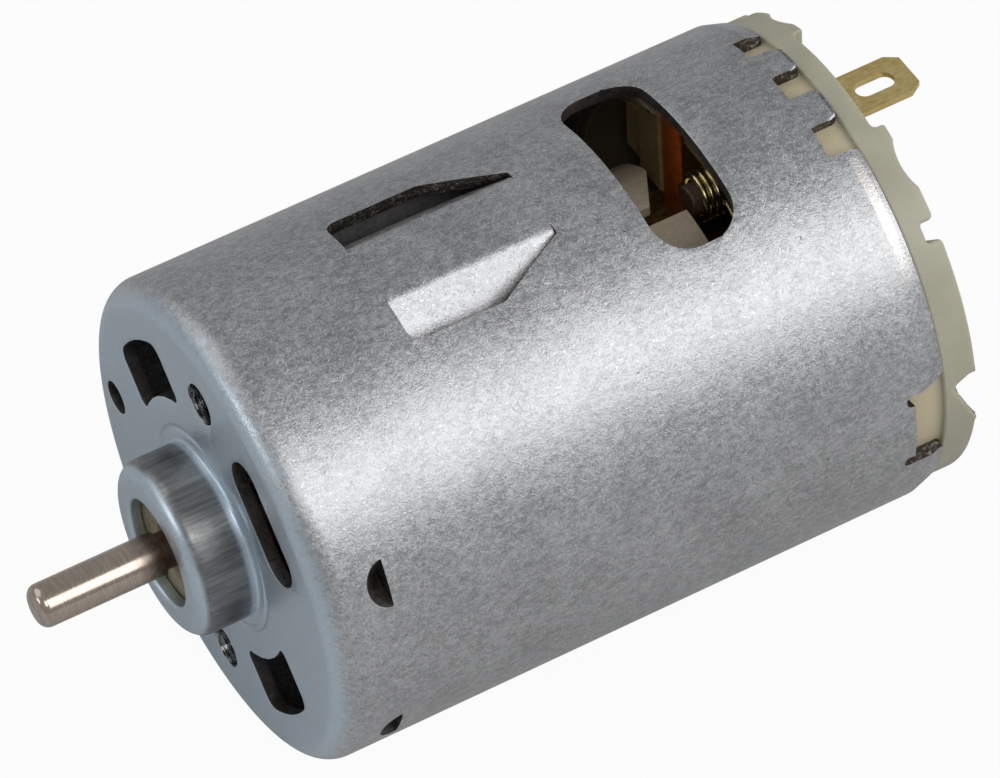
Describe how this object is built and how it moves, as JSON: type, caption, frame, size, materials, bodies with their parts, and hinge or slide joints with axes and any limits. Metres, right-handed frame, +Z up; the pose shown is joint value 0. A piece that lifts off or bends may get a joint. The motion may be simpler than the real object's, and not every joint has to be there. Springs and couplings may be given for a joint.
{
  "type": "brushed dc motor",
  "caption": "Brushed permanent-magnet electric motor in a drawn steel can, with a round output shaft in a pilot boss, face screw holes, a brush window, a moulded end bell and flat terminals.",
  "frame": {"origin": "centre of the front mounting face, on the shaft axis", "axes": "-Y out along the output shaft, +Y towards the terminals, +Z up through the can's window and the gap between the magnets, +X towards the right magnet"},
  "size_m": [0.0358, 0.0696, 0.0358],
  "materials": {
    "can_steel": "satin, fine-grained plated drawn steel",
    "magnet_ferrite": "dull dark grey ferrite",
    "sintered_bronze": "matt, porous, oily sintered bronze",
    "oil_felt": "pale wool felt soaked in oil",
    "spring_steel": "bright spring steel sheet",
    "shaft_steel": "polished ground steel",
    "lamination_steel": "dull stacked lamination edges",
    "former_plastic": "dull beige moulded plastic",
    "copper_wire": "enamelled copper wire, warm red-brown",
    "copper_bar": "turned copper",
    "phenolic": "dark brown phenolic moulding",
    "carbon": "matt copper-graphite carbon",
    "brass_sheet": "stamped satin brass",
    "spring_wire": "bright bronze spring wire",
    "bell_nylon": "satin ivory moulded nylon",
    "fibre": "dull red vulcanised fibre"
  },
  "bodies": {
    "housing": {"motor_can": "can_steel", "end_bell": "bell_nylon", "magnet_right": "magnet_ferrite", "magnet_left": "magnet_ferrite", "front_bearing": "sintered_bronze", "front_bearing_felt": "oil_felt", "front_bearing_retainer": "spring_steel", "rear_bearing": "sintered_bronze", "rear_bearing_felt": "oil_felt", "rear_bearing_retainer": "spring_steel", "brush_holder_right": "brass_sheet", "brush_holder_left": "brass_sheet", "terminal_top": "brass_sheet", "terminal_bottom": "brass_sheet"},
    "rotor": {"shaft": "shaft_steel", "rotor_core": "lamination_steel", "core_insulator_front": "former_plastic", "core_insulator_rear": "former_plastic", "coil_1": "copper_wire", "coil_2": "copper_wire", "coil_3": "copper_wire", "commutator_hub": "phenolic", "commutator_bar_1": "copper_bar", "commutator_bar_2": "copper_bar", "commutator_bar_3": "copper_bar", "thrust_washer_front": "fibre", "spacer_front": "spring_steel", "spacer_middle": "fibre", "spacer_rear": "spring_steel", "thrust_washer_rear": "fibre"},
    "brush_right": {"brush_right": "carbon"},
    "brush_left": {"brush_left": "carbon"},
    "spring_top": {"spring_top": "spring_wire"},
    "spring_bottom": {"spring_bottom": "spring_wire"}
  },
  "joints": [
    {"name": "rotor_spin", "type": "hinge", "parent": "housing", "child": "rotor", "pos_m": [0, 0, 0], "axis": [0, -1, 0], "continuous": true},
    {"name": "brush_right_slide", "type": "slide", "parent": "housing", "child": "brush_right", "axis": [1, 0, 0], "range_m": [0, 0.0015], "stiffness_N_per_m": 150, "springref_m": -0.003},
    {"name": "brush_left_slide", "type": "slide", "parent": "housing", "child": "brush_left", "axis": [-1, 0, 0], "range_m": [0, 0.0015], "stiffness_N_per_m": 150, "springref_m": -0.003},
    {"name": "spring_top_swing", "type": "hinge", "parent": "housing", "child": "spring_top", "pos_m": [0, 0.0392, 0.011], "axis": [0, 1, 0], "range_deg": [-7.8, 0]},
    {"name": "spring_bottom_swing", "type": "hinge", "parent": "housing", "child": "spring_bottom", "pos_m": [0, 0.0392, -0.011], "axis": [0, 1, 0], "range_deg": [-7.8, 0]}
  ],
  "couplings": [
    {"joint": "spring_top_swing", "follows": "brush_right_slide", "rad_per_m": -88},
    {"joint": "spring_bottom_swing", "follows": "brush_left_slide", "rad_per_m": -88}
  ]
}
